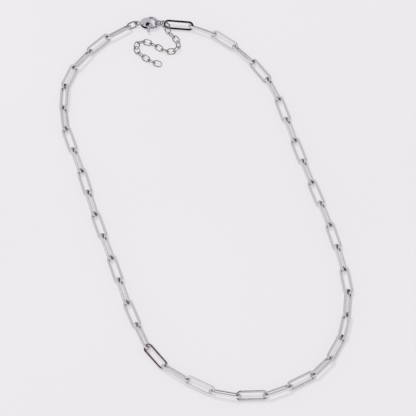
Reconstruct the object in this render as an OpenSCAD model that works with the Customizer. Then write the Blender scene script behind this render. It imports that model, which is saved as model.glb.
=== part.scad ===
// Paperclip chain necklace, closed at its clasp and laid on a flat surface.
// +Z is up, the surface is at z = 0, and the clasp lies towards +Y. Lengths are in millimetres.

/* [Long links] */
// Length of a long link over its ends
link_l = 12.65; // [11.65:0.1:13.65]
// Width of a long link over its rails
link_w = 4.0; // [3.8:0.1:4.6]
// Thickness of a long link's wire
link_wire = 0.95; // [0.8:0.05:1.05]
// Radius of the rounded edges of a long link's flat-sided wire
link_edge = 0.3; // [0.2:0.05:0.4]
// Number of long links round the loop
link_count = 42; // [38:2:46]
// Slack where two long links meet
link_play = 0.45; // [0.35:0.05:0.6]
// Lean of the links that lie nearly flat, in degrees
easy_lean = 32; // [28:1:38]
// Lean of the links that stand on one rail, in degrees
steep_lean = 45; // [42:1:52]

/* [Short link] */
// Length of the short link over its ends
short_l = 5.0; // [4.8:0.1:6]
// Width of the short link over its rails
short_w = 3.2; // [3:0.1:3.6]
// Thickness of the short link's wire
short_wire = 0.6; // [0.5:0.05:0.7]
// Lean of the short link, in degrees
short_lean = 60; // [55:1:65]

/* [Clasp body] */
// Radius of the hook's curve, to the middle of its bar
hook_r = 2.5; // [2.4:0.05:3]
// Thickness of the hook's bar
hook_bar = 1.25; // [1.1:0.05:1.35]
// Angle at which the hook's bar leaves the body, in degrees
hook_root = 128; // [120:1:135]
// Angle at which the hook's tip ends, on the lever's side, in degrees
hook_tip = 52; // [48:1:58]
// Thickness of the clasp's body at its middle
body_t = 3.1; // [3:0.1:3.4]
// Radius of the body's round front
body_r = 2.65; // [2.5:0.05:2.8]
// Distance from the middle of the hook back to the middle of the body's front
body_back = 2.1; // [2:0.05:2.3]
// Radius of the body's narrow end
neck_r = 0.75; // [0.65:0.05:0.85]
// Distance from the middle of the hook back to the middle of the body's narrow end
neck_back = 4.45; // [4.35:0.05:4.55]
// Outer diameter of the tail eye
eye_d = 2.5; // [2.4:0.1:3]
// Thickness of the tail eye's ring
eye_wire = 0.6; // [0.5:0.05:0.65]
// Distance from the middle of the hook back to the middle of the tail eye
eye_back = 6.0; // [5.9:0.1:6.6]

/* [Clasp lever] */
// Thickness of the lever
lever_t = 1.1; // [0.9:0.05:1.2]
// Gap between the lever and the body
lever_gap = 0.14; // [0.12:0.02:0.2]
// Radius of the lever's round boss at the rivet
boss_r = 1.1; // [1:0.05:1.2]
// Diameter of the rivet that the lever turns on
rivet_d = 0.8; // [0.6:0.05:0.9]
// Gap round the rivet in the lever's bore
rivet_gap = 0.05; // [0.04:0.01:0.08]
// Width of the thumb tab
tab_w = 1.1; // [0.9:0.05:1.3]
// Distance from the rivet to the end of the thumb tab
tab_out = 5.0; // [4.8:0.1:5.4]
// Angle that the lever turns through to open, in degrees
lever_open = 22; // [16:1:24]

/* [Rings] */
// Outer diameter of the hook ring
hook_ring_d = 3.6; // [3.4:0.1:4]
// Thickness of the hook ring's wire
hook_ring_wire = 0.5; // [0.4:0.05:0.55]
// Length of the jump ring over its ends
jump_l = 5.0; // [4.8:0.1:5.6]
// Width of the jump ring over its rails
jump_w = 3.5; // [3.4:0.1:3.8]
// Thickness of the jump ring's wire
jump_wire = 0.6; // [0.5:0.05:0.65]

/* [Extender] */
// Length of an extender link over its ends
ext_l = 3.8; // [3.5:0.05:4.2]
// Width of an extender link over its rails
ext_w = 2.6; // [2.4:0.1:3]
// Thickness of an extender link's wire
ext_wire = 0.4; // [0.3:0.05:0.45]
// Number of extender links
ext_count = 17; // [8:1:20]
// Slack where two extender links meet
ext_play = 0.3; // [0.2:0.01:0.35]
// Lean of the extender's links, in degrees
ext_lean = 38; // [35:1:42]

/* [Hidden] */
$fn = 64;

// Route of the closed chain seen from above, counter-clockwise from the middle of the hook.
loop_route = [
    [-36, 84], [-44.8, 80.3], [-52.5, 73], [-58.5, 64.5], [-63.25, 55.5], [-65.5, 45.25], [-64.25, 35],
    [-61.5, 25.25], [-52, 7], [-43.25, -11.75], [-33.75, -30], [-24.5, -48.25], [-19.25, -57.25],
    [-13.75, -66], [-6, -73], [3.5, -77], [13.25, -80], [23.5, -80], [33.5, -77.75], [42.25, -72.25],
    [50.25, -65.75], [56, -57.25], [59.25, -47.5], [60, -37.25], [59.5, -27], [56.5, -17], [48.5, 2],
    [39, 20.25], [29.75, 38.75], [20.75, 57.25], [15.25, 65.75], [8, 73], [-0.5, 79.25], [-9.75, 83.75],
    [-19.75, 85.75], [-30, 84.6]
];
// Route of the extender from the jump ring past its free end.
ext_route = [
    [-29.4, 82.8], [-28, 80.7], [-25.8, 79.4], [-23.8, 77.7], [-23, 75.2], [-23.8, 72.8], [-26, 71.6],
    [-28.7, 71.8], [-31.3, 72.9], [-34, 74], [-36.5, 74.6], [-39, 73.9], [-40.4, 71.8], [-39.6, 69.4],
    [-37.3, 67.5], [-34.8, 66.1], [-31.8, 65], [-28.6, 64.5], [-26, 63.2], [-24, 61], [-21, 59.5],
    [-17, 59], [-12, 59]
];
route_steps = 12;

// Numbers of the links at which the chain tips over from one side to the other.
first_tip = 5;
last_tip = 25;

// Distance from the middle of a flat-sided wire, turned about its own length, to its lowest point.
function edge_reach(turn) = (link_wire / 2 - link_edge) * (abs(cos(turn)) + abs(sin(turn))) + link_edge;

// Height of every long link's middle: a steep link's lower rail touches the surface.
axis_z = edge_reach(steep_lean) + (link_w - link_wire) / 2 * sin(steep_lean);
link_pitch = link_l - 2 * link_wire - link_play;
ext_pitch = ext_l - 2 * ext_wire - ext_play;

// A point between b and c on the smooth curve through four route points.
function bend(a, b, c, d, t) = 0.5 * (
    2 * b + (c - a) * t + (2 * a - 5 * b + 4 * c - d) * t * t + (3 * b - a - 3 * c + d) * t * t * t
);
function wrapped(list, i) = list[(i + len(list)) % len(list)];
function held(list, i) = list[max(0, min(len(list) - 1, i))];
function closed_curve(list) = [
    for (i = [0 : len(list)])
    for (k = [0 : i < len(list) ? route_steps - 1 : 0])
    bend(wrapped(list, i - 1), wrapped(list, i), wrapped(list, i + 1), wrapped(list, i + 2), k / route_steps)
];
function open_curve(list) = [
    for (i = [0 : len(list) - 1])
    for (k = [0 : i < len(list) - 1 ? route_steps - 1 : 0])
    bend(held(list, i - 1), list[i], held(list, i + 1), held(list, i + 2), k / route_steps)
];
// Length along a curve up to each of its points.
function step_to(curve, i) = i < len(curve) ? norm(curve[i] - curve[i - 1]) : 0;
function lengths(curve) = [
    for (i = 0, s = 0; i < len(curve); i = i + 1, s = s + step_to(curve, i)) s
];
function axis_table(curve, s, axis) = [for (i = [0 : len(curve) - 1]) [s[i], curve[i][axis]]];
function at(table, s) = [lookup(s, table[0]), lookup(s, table[1])];
// The place on a curve at a straight distance from an earlier place on it.
function further(table, s, step) = let (
    first = step * step / norm(at(table, s + step) - at(table, s))
) s + first * step / norm(at(table, s + first) - at(table, s));
function total(list) = list * [for (v = list) 1];
function heading(a, b) = atan2(b[1] - a[1], b[0] - a[0]);
function toward(turn) = [cos(turn), sin(turn)];

// Clear space left where two pieces of the clasp's group touch.
seat_gap = 0.12;
// The short link's bow turns close in the tail eye, so it keeps a little more.
eye_gap = 0.17;
// Slack left in the short link.
short_slack = 0.4;
// How much nearer the last long link comes because the jump ring lies aslant.
jump_lap = 0.5;

// Spans along the route from the middle of the hook to the long links' first and last joints.
eye_hold = (eye_d - eye_wire) / 2 - eye_wire / 2 - short_wire / 2 - eye_gap;
left_span = eye_back + eye_hold + short_l - short_wire * 1.5 - link_wire / 2 - seat_gap
    + (link_wire + link_play) / 2 - short_slack;
ring_out = hook_r - hook_bar / 2 - seat_gap + hook_ring_d / 2 - hook_ring_wire;
right_span = ring_out + jump_w - jump_lap;

// The loop is scaled so that its links fit the route at their own pitch.
loop_fine = closed_curve(loop_route);
loop_at = lengths(loop_fine);
loop_length = loop_at[len(loop_at) - 1];
raw_table = [for (axis = [0, 1]) axis_table(loop_fine, loop_at, axis)];
chain_length = link_count * link_pitch;
raw_share = loop_length / (chain_length + left_span + right_span);
raw_joints = [for (i = [0 : link_count]) at(raw_table, (left_span + i * link_pitch) * raw_share)];
raw_chords = [for (i = [1 : link_count]) norm(raw_joints[i] - raw_joints[i - 1])];
loop_scale = chain_length / total(raw_chords);
joints = raw_joints * loop_scale;
hook_at = loop_route[0] * loop_scale;

function link_heading(i) = heading(joints[i], joints[i + 1]);
function link_middle(i) = (joints[i] + joints[i + 1]) / 2;
// Upper links have their wide sides to one side, lower links to the other.
function link_lean(i) = let (upper = i < first_tip || i > last_tip, even = i % 2 == 0)
    upper ? (even ? steep_lean : -easy_lean) : (even ? easy_lean : -steep_lean);

// Middle of the whole chain, seen from above.
function link_reach(i, axis) = let (
    turn = link_heading(i),
    along = axis == 0 ? cos(turn) : sin(turn),
    across = (axis == 0 ? sin(turn) : cos(turn)) * cos(link_lean(i)),
    flat = norm([along, across]),
    upright = sqrt(max(0, 1 - flat * flat))
) (link_l - link_w) / 2 * abs(along) + (link_w - link_wire) / 2 * flat
    + (link_wire / 2 - link_edge) * (flat + upright) + link_edge;
links = [0 : link_count - 1];
low = [for (axis = [0, 1]) min([for (i = links) link_middle(i)[axis] - link_reach(i, axis)])];
high_links = [for (axis = [0, 1]) max([for (i = links) link_middle(i)[axis] + link_reach(i, axis)])];
high = [high_links[0], max(high_links[1], hook_at[1] + hook_r + hook_bar / 2)];
centre = (low + high) / 2;

// The clasp lies on its flat side, with its hook towards the jump ring.
clasp_turn = 14;
clasp_z = body_t / 2;
clasp_dir = toward(clasp_turn);
// Places on the clasp are measured from the middle of its hook.
rivet_ahead = 0.3;
rivet_side = 0.35;
rivet_at = [rivet_ahead - body_back, rivet_side];
rivet_recess = 0.08;
mouth_at = [1.5, 0.5];
mouth_r = 2.0;
// Angles of the lever's outline: its tab, both ends of its arm and both sides of its boss.
tab_turn = -88;
arm_root = -118;
arm_front = -66;
boss_front = 20;
boss_back = 200;
tip_gap = lever_gap / hook_r * 180 / PI;
tab_start = body_r + lever_gap + tab_w / 2;
tab_end = tab_out - tab_w / 2;
// Angles of the slot's sides, and how much further than the tab it opens.
slot_front = 35;
slot_back = 175;
slot_spare = 25;

// The short link hangs between the tail eye and the first long link.
eye_at = hook_at - eye_back * clasp_dir;
first_bow = joints[0] - (link_wire + link_play) / 2 * toward(link_heading(0));
short_turn = heading(eye_at, first_bow);
short_at = eye_at + (eye_hold + (short_l - short_wire) / 2) * toward(short_turn);

// The hook ring stands on edge round the hook's bar, a little up the hook's side.
hook_ring_shift = [-0.1, 0.35];
hook_ring_at = hook_at + [ring_out, 0] + hook_ring_shift;
hook_ring_turn = clasp_turn - 1;
hook_ring_lean = 90;
hook_ring_z = hook_ring_wire / 2 + (hook_ring_d - hook_ring_wire) / 2 * sin(hook_ring_lean);

// The jump ring lies aslant between the hook ring, the last long link and the extender.
ring_hole_r = hook_ring_d / 2 - hook_ring_wire;
jump_rail = (jump_w - jump_wire) / 2;
jump_shift = [-0.18, -0.05];
jump_at = hook_ring_at + [ring_hole_r + jump_rail, 0] + jump_shift;
jump_turn = -39;
jump_lean = -12;
jump_tilt = 7;
jump_z = 1.7;

// The extender starts in the jump ring's near side and takes as much of its route as its links need.
ext_fine = open_curve(ext_route);
ext_at = lengths(ext_fine);
ext_table = [for (axis = [0, 1]) axis_table(ext_fine, ext_at, axis)];
ext_start_side = 0.8;
ext_start = jump_at + [ext_start_side, -jump_rail];
ext_joints = [
    for (i = 0, s = 0; i <= ext_count; i = i + 1, s = further(ext_table, s, ext_pitch))
    ext_start + at(ext_table, s) - ext_route[0]
];
// Its first links come down from the jump ring.
start_drop = [1.1, 0.6];
start_lean = 50;
ext_z = ext_wire / 2 + (ext_w - ext_wire) / 2 * sin(ext_lean);

module laid(spot, z, turn, lean, tilt = 0) {
    translate([spot[0] - centre[0], spot[1] - centre[1], z])
        rotate([0, -tilt, turn]) rotate([lean, 0, 0]) children();
}

// One closed link or ring of wire, flat, with its length along X.
module wire_link(l, w, wire, edge = 0) {
    bow_r = (w - wire) / 2;
    straight = l - w;
    for (side = [-1, 1]) {
        translate([side * straight / 2, 0, 0]) rotate([0, 0, -side * 90]) rotate_extrude(angle = 180)
            translate([bow_r, 0]) wire_section(wire, edge);
        translate([-straight / 2, side * bow_r, 0]) rotate([0, 90, 0]) linear_extrude(straight)
            wire_section(wire, edge);
    }
}

// Section of a wire: round, or with four flat sides where its edges have a radius of their own.
module wire_section(wire, edge) {
    if (edge > 0) {
        square([wire, wire - 2 * edge], center = true);
        square([wire - 2 * edge, wire], center = true);
        for (x = [-1, 1], y = [-1, 1]) translate([x, y] * (wire / 2 - edge)) circle(r = edge);
    } else {
        circle(d = wire);
    }
}

module round_ring(d, wire) {
    rotate_extrude() translate([(d - wire) / 2, 0]) circle(d = wire);
}

module long_link(i) {
    color("silver") laid(link_middle(i), axis_z, link_heading(i), link_lean(i))
        wire_link(link_l, link_w, link_wire, link_edge);
}

module short_link() {
    color("gainsboro") laid(short_at, clasp_z, short_turn, -short_lean)
        wire_link(short_l, short_w, short_wire);
}

module hook_ring() {
    color("lightsteelblue") laid(hook_ring_at, hook_ring_z, hook_ring_turn, hook_ring_lean)
        round_ring(hook_ring_d, hook_ring_wire);
}

module jump_ring() {
    color("slategray") laid(jump_at, jump_z, jump_turn, jump_lean, jump_tilt)
        wire_link(jump_l, jump_w, jump_wire);
}

function arc(x, r, from, to, steps) = [
    for (k = [0 : steps]) let (turn = from + (to - from) * k / steps) [r * sin(turn), x + r * cos(turn)]
];

front_steps = 14;
end_steps = 6;

// The clasp's drop shape: a round front and a narrow end joined by a cone that touches both.
module drop() {
    run = neck_back - body_back;
    slope = asin((body_r - neck_r) / run);
    rotate([0, 90, 0]) rotate_extrude()
        polygon(concat(
            arc(0, body_r, 0, 90 + slope, front_steps), arc(-run, neck_r, 90 + slope, 180, end_steps)
        ));
}

// Space in the body that the lever sweeps as it opens.
module lever_slot() {
    sweep = 3 * body_r;
    slot_r = boss_r + lever_gap;
    translate(rivet_at) linear_extrude(lever_t + 2 * lever_gap, center = true) {
        circle(r = slot_r);
        polygon([
            slot_r * toward(slot_front), [sweep, boss_r], [sweep, -sweep],
            sweep * toward(tab_turn - lever_open - slot_spare), slot_r * toward(slot_back)
        ]);
    }
}

module clasp_body() {
    color("thistle") laid(hook_at, clasp_z, clasp_turn, 0) {
        difference() {
            translate([-body_back, 0, 0]) scale([1, 1, body_t / 2 / body_r]) drop();
            translate([mouth_at[0], mouth_at[1], -body_t]) cylinder(h = 2 * body_t, r = mouth_r);
            translate([rivet_at[0], rivet_at[1], -body_t]) cylinder(h = 2 * body_t, d = rivet_d);
            lever_slot();
        }
        rotate([0, 0, -hook_tip]) rotate_extrude(angle = hook_root + hook_tip)
            translate([hook_r, 0]) circle(d = hook_bar);
        translate([-eye_back, 0, 0]) round_ring(eye_d, eye_wire);
    }
}

module clasp_rivet() {
    color("dimgray") laid(hook_at, clasp_z, clasp_turn, 0) translate(rivet_at)
        cylinder(h = body_t - 2 * rivet_recess, d = rivet_d, center = true);
}

module clasp_lever() {
    color("plum") laid(hook_at, clasp_z, clasp_turn, 0) difference() {
        union() {
            linear_extrude(lever_t, center = true) {
                translate(rivet_at) circle(r = boss_r);
                polygon([
                    rivet_at + boss_r * toward(boss_front), hook_r * toward(arm_front),
                    hook_r * toward(-90), hook_r * toward(arm_root),
                    rivet_at + boss_r * toward(boss_back)
                ]);
                translate(rivet_at) rotate([0, 0, tab_turn]) translate([0, -tab_w / 2])
                    square([tab_start, tab_w]);
            }
            rotate([0, 0, arm_root]) rotate_extrude(angle = -arm_root - hook_tip - tip_gap)
                translate([hook_r, 0]) circle(d = lever_t);
            translate(rivet_at) rotate([0, 0, tab_turn]) {
                translate([tab_start, 0, 0]) rotate([0, 90, 0]) cylinder(h = tab_end - tab_start, d = tab_w);
                for (end = [tab_start, tab_end]) translate([end, 0, 0]) sphere(d = tab_w);
            }
        }
        translate([rivet_at[0], rivet_at[1], -lever_t])
            cylinder(h = 2 * lever_t, d = rivet_d + 2 * rivet_gap);
    }
}

module extender_chain() {
    count = len(start_drop);
    heights = [for (i = [0 : ext_count]) ext_z + (i < count ? start_drop[i] : 0)];
    leans = [for (i = [0 : ext_count - 1]) i == 0 ? start_lean : i % 2 == 0 ? ext_lean : -ext_lean];
    color("gray") for (i = [0 : ext_count - 1]) {
        from = ext_joints[i];
        to = ext_joints[i + 1];
        climb = atan((heights[i + 1] - heights[i]) / ext_pitch);
        laid((from + to) / 2, (heights[i] + heights[i + 1]) / 2, heading(from, to), leans[i], climb)
            wire_link(ext_l, ext_w, ext_wire);
    }
}

function link_name(i) = str("link_", i < 9 ? "0" : "", i + 1);

for (i = links) long_link(i);
short_link();
clasp_body();
clasp_lever();
clasp_rivet();
hook_ring();
jump_ring();
extender_chain();
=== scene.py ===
"""A paperclip chain necklace laid on a pale table, seen from above. Every length is in metres."""

import math

import bmesh
import bpy
import numpy as np
from mathutils import Matrix, Vector


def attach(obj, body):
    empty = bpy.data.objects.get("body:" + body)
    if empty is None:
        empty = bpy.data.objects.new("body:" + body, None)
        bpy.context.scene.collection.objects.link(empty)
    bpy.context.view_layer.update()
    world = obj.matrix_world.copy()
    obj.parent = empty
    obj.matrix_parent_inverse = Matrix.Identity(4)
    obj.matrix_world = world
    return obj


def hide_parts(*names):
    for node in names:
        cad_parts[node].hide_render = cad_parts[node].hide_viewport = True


MM = 0.001
WHITE = (1, 0.99, 1)

# The photograph's frame is square, and its focal length is given in its own pixels.
FRAME_PX = 416
FOCAL_PX = 2437
SENSOR = 36.0

# The camera looks at a point near the middle of the loop, from above and from the near side.
AIM = Vector((2.788, -2.914, 1.6)) * MM
CAMERA_ELEVATION = math.radians(58.2)
CAMERA_ROLL = math.radians(9.82)
CAMERA_DISTANCE = 963 * MM
# Nothing nearer to the camera than this is drawn.
NEAREST_SEEN = 10 * MM

# Long links round the loop.
LINK_COUNT = 42

# Roundness of the wires' corners, as a share of half their thickness: the long links have flat sides.
LINK_CORNER = 0.35
ROUND_CORNER = 0.98

# Points along each bow and each straight side of a link, and in each corner of its wire's section.
BOW_STEPS = 20
RAIL_STEPS = 10
CORNER_STEPS = 5
SMALL_CORNER_STEPS = 4

# Points of one loose solid that lie closer than this are the same point.
SAME_POINT = 0.001 * MM

# Colour patches, which on the small rings and the extender are painted dark reflections, and fine
# rubbing marks on the steel: how many to a metre, and how detailed.
PATCH_SCALE = 700
PATCH_DETAIL = 3
MARK_SCALE = 5200
MARK_DETAIL = 4
MARK_STRETCH = (1, 0.35, 1)
MARK_DEPTH = 0.01 * MM
MARK_STRENGTH = 0.02
# The middle part of a noise's values, which holds most of them.
NOISE_LOW = 0.3
NOISE_HIGH = 0.7

# Painted shade between links: how near other metal has to be for a wire to be darkened there, and how
# open a spot is where that darkening is full and where it ends.
CREVICE_SHADE_REACH = 0.7 * MM
CREVICE_SHADE_SAMPLES = 8
CREVICE_SHADE_FULL = 0.45
CREVICE_SHADE_NONE = 0.85
# Colours of the painted shade between links: for the long links and cast parts, the extender, and the small
# rings.
CREVICE_SHADE = (0.1, 0.08, 0.08)
DEEP_CREVICE_SHADE = (0.03, 0.02, 0.02)
RING_CREVICE_SHADE = (0.04, 0.03, 0.03)

# Each steel's light and dark colour, the range of its roughness and its colour in the painted shade between
# links.
WIRE_STEEL = ("wire_steel", (0.70, 0.67, 0.70), (0.64, 0.61, 0.64), (0.06, 0.12), CREVICE_SHADE)
# The near-black dark colours of the small rings and the extender paint dark reflections in patches.
RING_STEEL = ("small_steel", (0.6, 0.56, 0.57), (0.14, 0.12, 0.12), (0.05, 0.1), RING_CREVICE_SHADE)
EXTENDER_STEEL = ("extender_steel", (0.6, 0.57, 0.57), (0.1, 0.085, 0.08), (0.06, 0.12), DEEP_CREVICE_SHADE)
CAST_STEEL = ("cast_steel", (0.62, 0.59, 0.64), (0.55, 0.52, 0.57), (0.06, 0.14), CREVICE_SHADE)
RIVET_STEEL = ("rivet_steel", (0.6, 0.6, 0.62), (0.5, 0.5, 0.52), (0.2, 0.35), CREVICE_SHADE)

# The table, and the light that it passes on from its own depth, which softens the shadows on it.
TABLE_HALF = 1.5
TABLE_DARK = (0.212, 0.21, 0.214)
TABLE_LIGHT = (0.222, 0.22, 0.224)
TABLE_CLOUD_SCALE = 9
TABLE_CLOUD_DETAIL = 2
TABLE_ROUGHNESS = 0.9
TABLE_GLOW_COLOUR = (0.99, 0.97, 1)
TABLE_GLOW = 0.594

# The light of the room, and the lamp over the table.
ROOM_COLOUR = (0.97, 0.95, 0.98)
ROOM_STRENGTH = 0.86
LAMP_PLACE = Vector((-0.84, 0.4, 2.0))
LAMP_SIZE = 0.3
LAMP_POWER = 26

# What stands round the table and shows in the steel: name, azimuth and elevation in degrees (azimuth 0 is
# along +X and 90 along +Y), distance, width, height, colour, and strength of its own light.
CARDS = (
    ("front_wall", -68, 26, 1.3, 1.9, 0.36, WHITE, 1.2),
    ("camera_back", -83, 57, 1.25, 0.46, 0.62, (0.004, 0.004, 0.004), 0),
    ("left_wall", -127, 40, 1.35, 1.3, 0.86, WHITE, 1.08),
    ("far_left_wall", 176, 14, 1.4, 0.5, 0.36, (1, 1, 1), 1.02),
    ("photographer", 0, 76, 1.2, 1.15, 0.9, (0.006, 0.005, 0.005), 0),
    ("red_curtain", -161, 43, 1.15, 0.27, 0.38, (0.075, 0.004, 0.009), 0),
)


def look_direction():
    return Vector((0, math.cos(CAMERA_ELEVATION), -math.sin(CAMERA_ELEVATION)))


def make_camera():
    ahead = look_direction()
    side = Vector((1, 0, 0))
    above = side.cross(ahead)
    right = math.cos(CAMERA_ROLL) * side + math.sin(CAMERA_ROLL) * above
    up = -math.sin(CAMERA_ROLL) * side + math.cos(CAMERA_ROLL) * above
    place = AIM - ahead * CAMERA_DISTANCE
    data = bpy.data.cameras.new("camera")
    data.sensor_width = SENSOR
    data.lens = FOCAL_PX / FRAME_PX * SENSOR
    data.clip_start = NEAREST_SEEN
    camera = bpy.data.objects.new("camera", data)
    camera.matrix_world = Matrix((
        (right.x, up.x, -ahead.x, place.x),
        (right.y, up.y, -ahead.y, place.y),
        (right.z, up.z, -ahead.z, place.z),
        (0, 0, 0, 1),
    ))
    bpy.context.scene.collection.objects.link(camera)
    bpy.context.scene.camera = camera


def plain_material(name):
    material = bpy.data.materials.new(name)
    material.use_nodes = True
    return material, material.node_tree, material.node_tree.nodes["Principled BSDF"]


def noise(tree, coordinates, scale, detail, stretch=(1, 1, 1)):
    mapping = tree.nodes.new("ShaderNodeMapping")
    mapping.inputs["Scale"].default_value = stretch
    tree.links.new(coordinates, mapping.inputs["Vector"])
    texture = tree.nodes.new("ShaderNodeTexNoise")
    texture.inputs["Scale"].default_value = scale
    texture.inputs["Detail"].default_value = detail
    tree.links.new(mapping.outputs["Vector"], texture.inputs["Vector"])
    return texture.outputs["Fac"]


def spread(tree, value, low=0.0, high=1.0, from_low=NOISE_LOW, from_high=NOISE_HIGH):
    """A value of from_low to from_high spread over low to high."""
    node = tree.nodes.new("ShaderNodeMapRange")
    node.inputs["From Min"].default_value = from_low
    node.inputs["From Max"].default_value = from_high
    node.inputs["To Min"].default_value = low
    node.inputs["To Max"].default_value = high
    tree.links.new(value, node.inputs["Value"])
    return node.outputs["Result"]


def mix_node(tree, share):
    """A node that mixes its colours A and B, with a share of B."""
    node = tree.nodes.new("ShaderNodeMix")
    node.data_type = "RGBA"
    tree.links.new(share, node.inputs["Factor"])
    return node


def mixed(tree, share, first, second):
    """The first colour mixed with a share of the second."""
    node = mix_node(tree, share)
    node.inputs["A"].default_value = (*first, 1)
    node.inputs["B"].default_value = (*second, 1)
    return node.outputs["Result"]


def painted_crevice_shade(tree, colour, painted_shade_colour):
    """Painted shade: a colour that turns dark where other metal comes close, where shade falls between
    links.
    """
    closeness = tree.nodes.new("ShaderNodeAmbientOcclusion")
    closeness.samples = CREVICE_SHADE_SAMPLES
    closeness.inputs["Distance"].default_value = CREVICE_SHADE_REACH
    share = spread(tree, closeness.outputs["AO"], from_low=CREVICE_SHADE_FULL, from_high=CREVICE_SHADE_NONE)
    node = mix_node(tree, share)
    node.inputs["A"].default_value = (*painted_shade_colour, 1)
    tree.links.new(colour, node.inputs["B"])
    return node.outputs["Result"]


def steel(name, light, dark, rough, painted_shade_colour):
    """Polished steel with faint rubbing marks: its colour runs from dark to light in patches, which on the
    darker steels are painted dark reflections, its roughness over rough, and it turns to painted shade
    between links."""
    material, tree, shader = plain_material(name)
    shader.inputs["Metallic"].default_value = 1.0
    where = tree.nodes.new("ShaderNodeTexCoord").outputs["Object"]
    # Colour patches, which on the small rings and the extender are painted dark reflections.
    patches_and_painted_reflections = noise(tree, where, PATCH_SCALE, PATCH_DETAIL)
    marks = noise(tree, where, MARK_SCALE, MARK_DETAIL, MARK_STRETCH)
    colour = mixed(tree, spread(tree, patches_and_painted_reflections), dark, light)
    # Painted shade between links darkens the colour where other metal comes close.
    tree.links.new(painted_crevice_shade(tree, colour, painted_shade_colour), shader.inputs["Base Color"])
    tree.links.new(spread(tree, marks, *rough), shader.inputs["Roughness"])
    relief = tree.nodes.new("ShaderNodeBump")
    relief.inputs["Strength"].default_value = MARK_STRENGTH
    relief.inputs["Distance"].default_value = MARK_DEPTH
    tree.links.new(marks, relief.inputs["Height"])
    tree.links.new(relief.outputs["Normal"], shader.inputs["Normal"])
    return material


def points_of(node):
    return np.array([v.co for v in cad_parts[node].data.vertices], float)


def lie_of(points):
    """Middle, directions and sizes of a link from its points: along it, across it, and out of its plane."""
    axes = np.linalg.svd(points - points.mean(0), full_matrices=False)[2]
    spans = points @ axes.T
    middle = ((spans.min(0) + spans.max(0)) / 2) @ axes
    along, across = Vector(axes[0]), Vector(axes[1])
    sizes = [float(v) for v in spans.max(0) - spans.min(0)]
    return Vector(middle), (along, across, along.cross(across)), sizes


def link_path(length, width, wire):
    """Points and outward directions on the middle of a link's wire, in its own plane."""
    bow_r = (width - wire) / 2
    half = (length - width) / 2
    path = []
    for side in (1, -1):
        for k in range(BOW_STEPS):
            turn = math.pi * (k / BOW_STEPS - 0.5) + (0 if side == 1 else math.pi)
            out = (math.cos(turn), math.sin(turn))
            path.append(((side * half + bow_r * out[0], bow_r * out[1]), out))
        for k in range(RAIL_STEPS):
            path.append(((side * half * (1 - 2 * k / RAIL_STEPS), side * bow_r), (0, side)))
    return path


def wire_section(wire, corner, corner_steps):
    """Points round a wire's section: four flat sides and rounded corners."""
    corner_r = corner * wire / 2
    shift = (wire / 2 - corner_r) * math.sqrt(2)
    section = []
    for quarter in range(4):
        middle_turn = math.pi / 2 * (quarter + 0.5)
        for k in range(corner_steps + 1):
            turn = math.pi / 2 * (quarter + k / corner_steps)
            section.append((shift * math.cos(middle_turn) + corner_r * math.cos(turn),
                            shift * math.sin(middle_turn) + corner_r * math.sin(turn)))
    return section


def add_link(mesh, points, corner, corner_steps):
    """Add the wire of one link, which lies where its points lie."""
    middle, (along, across, out), (length, width, wire) = lie_of(points)
    section = wire_section(wire, corner, corner_steps)
    rings = []
    for (x, y), (nx, ny) in link_path(length, width, wire):
        centre = middle + x * along + y * across
        outward = nx * along + ny * across
        rings.append([mesh.verts.new(centre + u * outward + v * out) for u, v in section])
    for i, ring in enumerate(rings):
        after = rings[(i + 1) % len(rings)]
        for k in range(len(section)):
            nxt = (k + 1) % len(section)
            mesh.faces.new((ring[k], ring[nxt], after[nxt], after[k]))


def finish_mesh(mesh, name, material, stands_for):
    """Make a smooth piece of the mesh, on the necklace's body, in place of a node."""
    bmesh.ops.recalc_face_normals(mesh, faces=mesh.faces)
    data = bpy.data.meshes.new(name)
    mesh.to_mesh(data)
    mesh.free()
    for face in data.polygons:
        face.use_smooth = True
    piece = bpy.data.objects.new(name, data)
    bpy.context.scene.collection.objects.link(piece)
    data.materials.append(material)
    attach(piece, "necklace")
    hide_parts(stands_for)


def one_link(node, material, corner):
    mesh = bmesh.new()
    add_link(mesh, points_of(node), corner, CORNER_STEPS)
    finish_mesh(mesh, node + "_wire", material, node)


def islands(node):
    """The points of each loose solid in a node."""
    mesh = bmesh.new()
    mesh.from_mesh(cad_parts[node].data)
    bmesh.ops.remove_doubles(mesh, verts=mesh.verts, dist=SAME_POINT)
    mesh.verts.ensure_lookup_table()
    left = set(range(len(mesh.verts)))
    groups = []
    while left:
        queue = [left.pop()]
        group = []
        while queue:
            vertex = mesh.verts[queue.pop()]
            group.append(tuple(vertex.co))
            for edge in vertex.link_edges:
                other = edge.other_vert(vertex).index
                if other in left:
                    left.remove(other)
                    queue.append(other)
        groups.append(np.array(group, float))
    mesh.free()
    return groups


def make_extender(material):
    mesh = bmesh.new()
    for points in islands("extender_chain"):
        add_link(mesh, points, ROUND_CORNER, SMALL_CORNER_STEPS)
    finish_mesh(mesh, "extender_wire", material, "extender_chain")


def flat_mesh(name, half_width, half_height):
    """A rectangle round the origin, facing along Z."""
    data = bpy.data.meshes.new(name)
    corners = [(-half_width, -half_height, 0), (half_width, -half_height, 0),
               (half_width, half_height, 0), (-half_width, half_height, 0)]
    data.from_pydata(corners, [], [(0, 1, 2, 3)])
    return data


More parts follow.
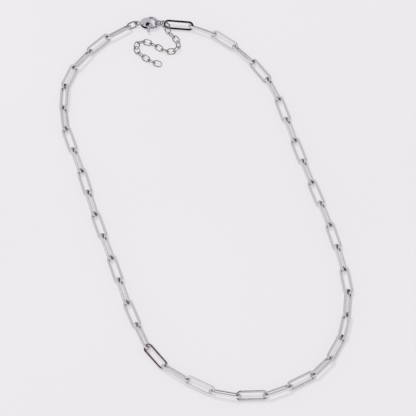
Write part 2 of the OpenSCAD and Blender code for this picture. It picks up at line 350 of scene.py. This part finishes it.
def make_floor():
    material, tree, shader = plain_material("pale_table")
    where = tree.nodes.new("ShaderNodeTexCoord").outputs["Object"]
    clouds = noise(tree, where, TABLE_CLOUD_SCALE, TABLE_CLOUD_DETAIL)
    colour = mixed(tree, spread(tree, clouds), TABLE_DARK, TABLE_LIGHT)
    tree.links.new(colour, shader.inputs["Base Color"])
    shader.inputs["Roughness"].default_value = TABLE_ROUGHNESS
    shader.inputs["Specular IOR Level"].default_value = 0.0
    shader.inputs["Emission Color"].default_value = (*TABLE_GLOW_COLOUR, 1)
    shader.inputs["Emission Strength"].default_value = TABLE_GLOW
    data = flat_mesh("table_top", TABLE_HALF, TABLE_HALF)
    data.materials.append(material)
    floor = bpy.data.objects.new("table_top", data)
    bpy.context.scene.collection.objects.link(floor)


def aim(thing, place):
    """Put a card or lamp at a place, facing the necklace."""
    thing.location = place
    thing.rotation_mode = "QUATERNION"
    thing.rotation_quaternion = place.to_track_quat("Z", "Y")


def add_card(name, azimuth, elevation, distance, width, height, colour, glow):
    """A plain card that shows in the metal alone. One that gives light of its own is black otherwise."""
    turn, lift = math.radians(azimuth), math.radians(elevation)
    away = Vector((math.cos(turn) * math.cos(lift), math.sin(turn) * math.cos(lift), math.sin(lift)))
    material, _, shader = plain_material(name)
    base = (0, 0, 0) if glow > 0 else colour
    shader.inputs["Base Color"].default_value = (*base, 1)
    shader.inputs["Roughness"].default_value = 1.0
    shader.inputs["Specular IOR Level"].default_value = 0.0
    shader.inputs["Emission Color"].default_value = (*colour, 1)
    shader.inputs["Emission Strength"].default_value = glow
    data = flat_mesh(name, width / 2, height / 2)
    data.materials.append(material)
    card = bpy.data.objects.new(name, data)
    aim(card, away * distance)
    card.visible_camera = False
    bpy.context.scene.collection.objects.link(card)


def add_lamp():
    """The lamp over the table, whose own image doesn't show in the steel."""
    data = bpy.data.lights.new("lamp", "AREA")
    data.shape = "RECTANGLE"
    data.size = LAMP_SIZE
    data.size_y = LAMP_SIZE
    data.energy = LAMP_POWER
    lamp = bpy.data.objects.new("lamp", data)
    aim(lamp, LAMP_PLACE)
    lamp.visible_glossy = False
    bpy.context.scene.collection.objects.link(lamp)


def make_light():
    world = bpy.data.worlds.new("soft_room")
    bpy.context.scene.world = world
    world.use_nodes = True
    background = world.node_tree.nodes["Background"]
    background.inputs["Color"].default_value = (*ROOM_COLOUR, 1)
    background.inputs["Strength"].default_value = ROOM_STRENGTH
    add_lamp()
    for card in CARDS:
        add_card(*card)


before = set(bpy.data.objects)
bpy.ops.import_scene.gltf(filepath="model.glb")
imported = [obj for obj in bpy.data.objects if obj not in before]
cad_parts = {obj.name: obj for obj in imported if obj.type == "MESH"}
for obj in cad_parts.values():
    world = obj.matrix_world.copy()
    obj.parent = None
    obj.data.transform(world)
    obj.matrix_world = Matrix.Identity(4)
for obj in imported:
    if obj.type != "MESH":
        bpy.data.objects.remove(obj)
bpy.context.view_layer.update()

make_camera()
wire_steel = steel(*WIRE_STEEL)
ring_steel = steel(*RING_STEEL)
extender_steel = steel(*EXTENDER_STEEL)
cast_steel = steel(*CAST_STEEL)
rivet_steel = steel(*RIVET_STEEL)

for number in range(1, LINK_COUNT + 1):
    one_link(f"link_{number:02d}", wire_steel, LINK_CORNER)
for ring in ("short_link", "jump_ring", "hook_ring"):
    one_link(ring, ring_steel, ROUND_CORNER)
make_extender(extender_steel)
cast_pieces = {"clasp_body": cast_steel, "clasp_lever": cast_steel, "clasp_rivet": rivet_steel}
for cast_node, cast_material in cast_pieces.items():
    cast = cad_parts[cast_node]
    cast.data.materials.clear()
    cast.data.materials.append(cast_material)

make_floor()
make_light()
bpy.context.scene.view_settings.view_transform = "Standard"
